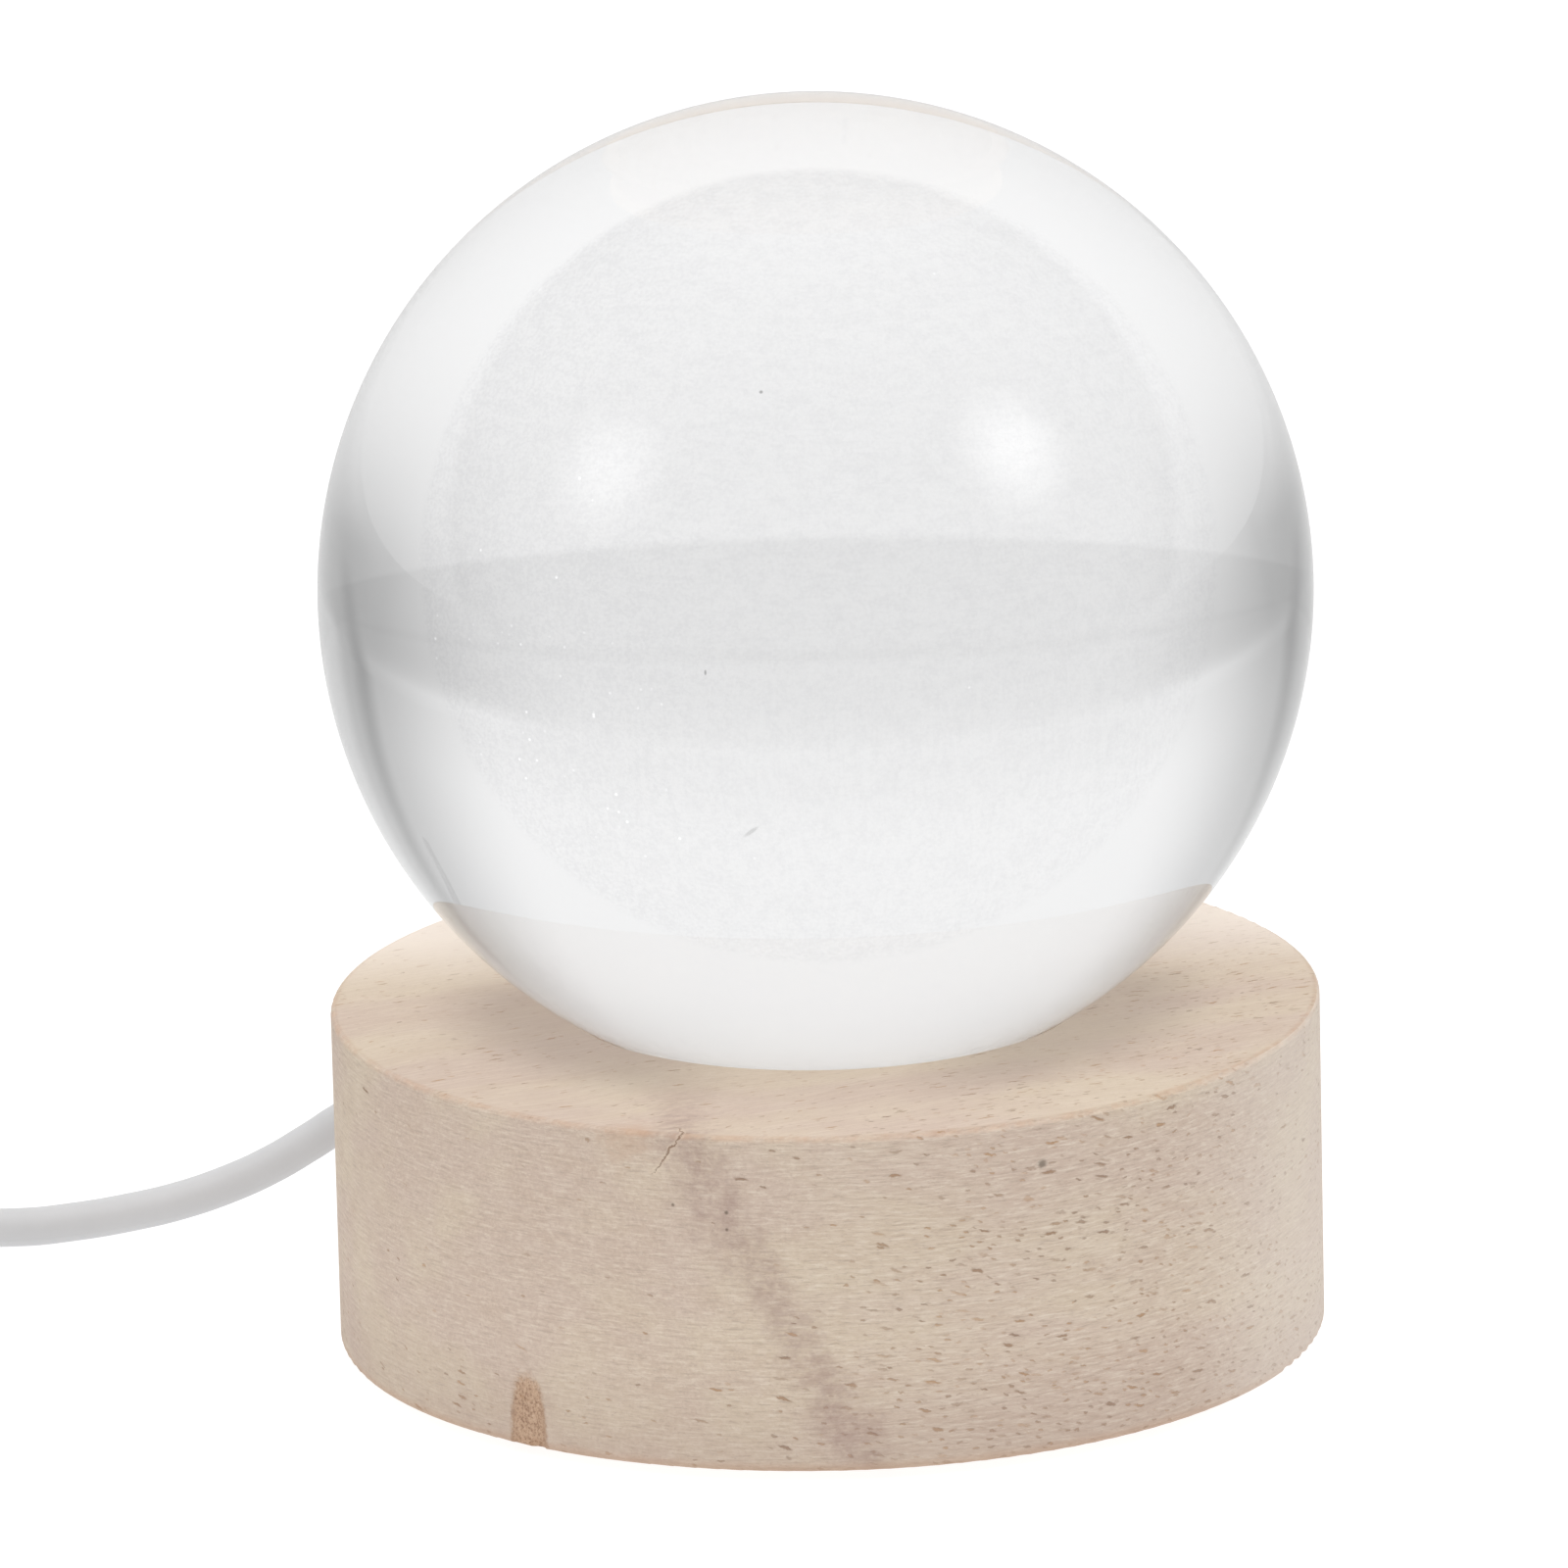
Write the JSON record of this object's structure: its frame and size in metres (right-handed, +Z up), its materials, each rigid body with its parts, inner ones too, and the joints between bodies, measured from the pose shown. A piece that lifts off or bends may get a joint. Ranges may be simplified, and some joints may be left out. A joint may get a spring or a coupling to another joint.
{
  "type": "crystal ball",
  "caption": "Solid clear glass ball resting in the seat of a round wooden light base, with a white USB lead, an inline rocker switch and a tied coil of cord.",
  "frame": {"origin": "centre of the base's footprint, on the surface that its feet stand on", "axes": "+Z up through the ball's centre, +X to the right, -Y towards the viewer; the lead leaves the base at the back left"},
  "size_m": [0.1846, 0.08, 0.1023],
  "materials": {
    "ball_glass": "polished",
    "wood": "sanded, unlacquered",
    "opal": "satin",
    "board_white": "solder mask",
    "led_white": "moulded",
    "phosphor": "resin",
    "black_plastic": "moulded",
    "steel": "zinc plated",
    "solder": "bright",
    "red_wire": "extruded",
    "black_wire": "extruded",
    "cord_white": "satin",
    "nylon": "translucent",
    "foot_rubber": "soft",
    "switch_white": "fine texture",
    "contact_brass": "stamped",
    "tie_plastic": "satin",
    "plug_white": "satin",
    "plug_metal": "nickel plated",
    "insulator_white": "moulded",
    "contact_gold": "gold flash"
  },
  "bodies": {
    "base": {"wood_base": "wood", "diffuser_disc": "opal", "led_board": "board_white", "led_packages": "led_white", "led_phosphors": "phosphor", "chip_resistors": "black_plastic", "board_screws": "steel", "solder_joints": "solder", "wire_positive": "red_wire", "wire_negative": "black_wire", "inner_cord": "cord_white", "inner_cable_tie": "nylon", "strain_relief": "cord_white", "feet": "foot_rubber", "cord_lead": "cord_white", "switch_reliefs": "cord_white", "switch_cord_ends": "cord_white", "switch_lower_shell": "switch_white", "switch_upper_shell": "switch_white", "rocker_pin": "steel", "switch_terminals": "contact_brass", "switch_wires": "black_wire", "switch_screws": "steel", "cord_run": "cord_white", "cord_coil": "cord_white", "coil_tie": "tie_plastic", "cord_tail": "cord_white", "plug_body": "plug_white", "plug_shell": "plug_metal", "plug_insulator": "insulator_white", "plug_contacts": "contact_gold"},
    "ball": {"crystal_ball": "ball_glass"},
    "rocker": {"switch_rocker": "switch_white", "contact_blade": "contact_brass"}
  },
  "joints": [
    {"name": "ball_lift", "type": "slide", "parent": "base", "child": "ball", "axis": [0, 0, 1], "range_m": [0, 0.06]},
    {"name": "rocker_hinge", "type": "hinge", "parent": "base", "child": "rocker", "pos_m": [-0.102, 0.027, 0.0074], "axis": [0, 1, 0], "range_deg": [0, 18]}
  ]
}
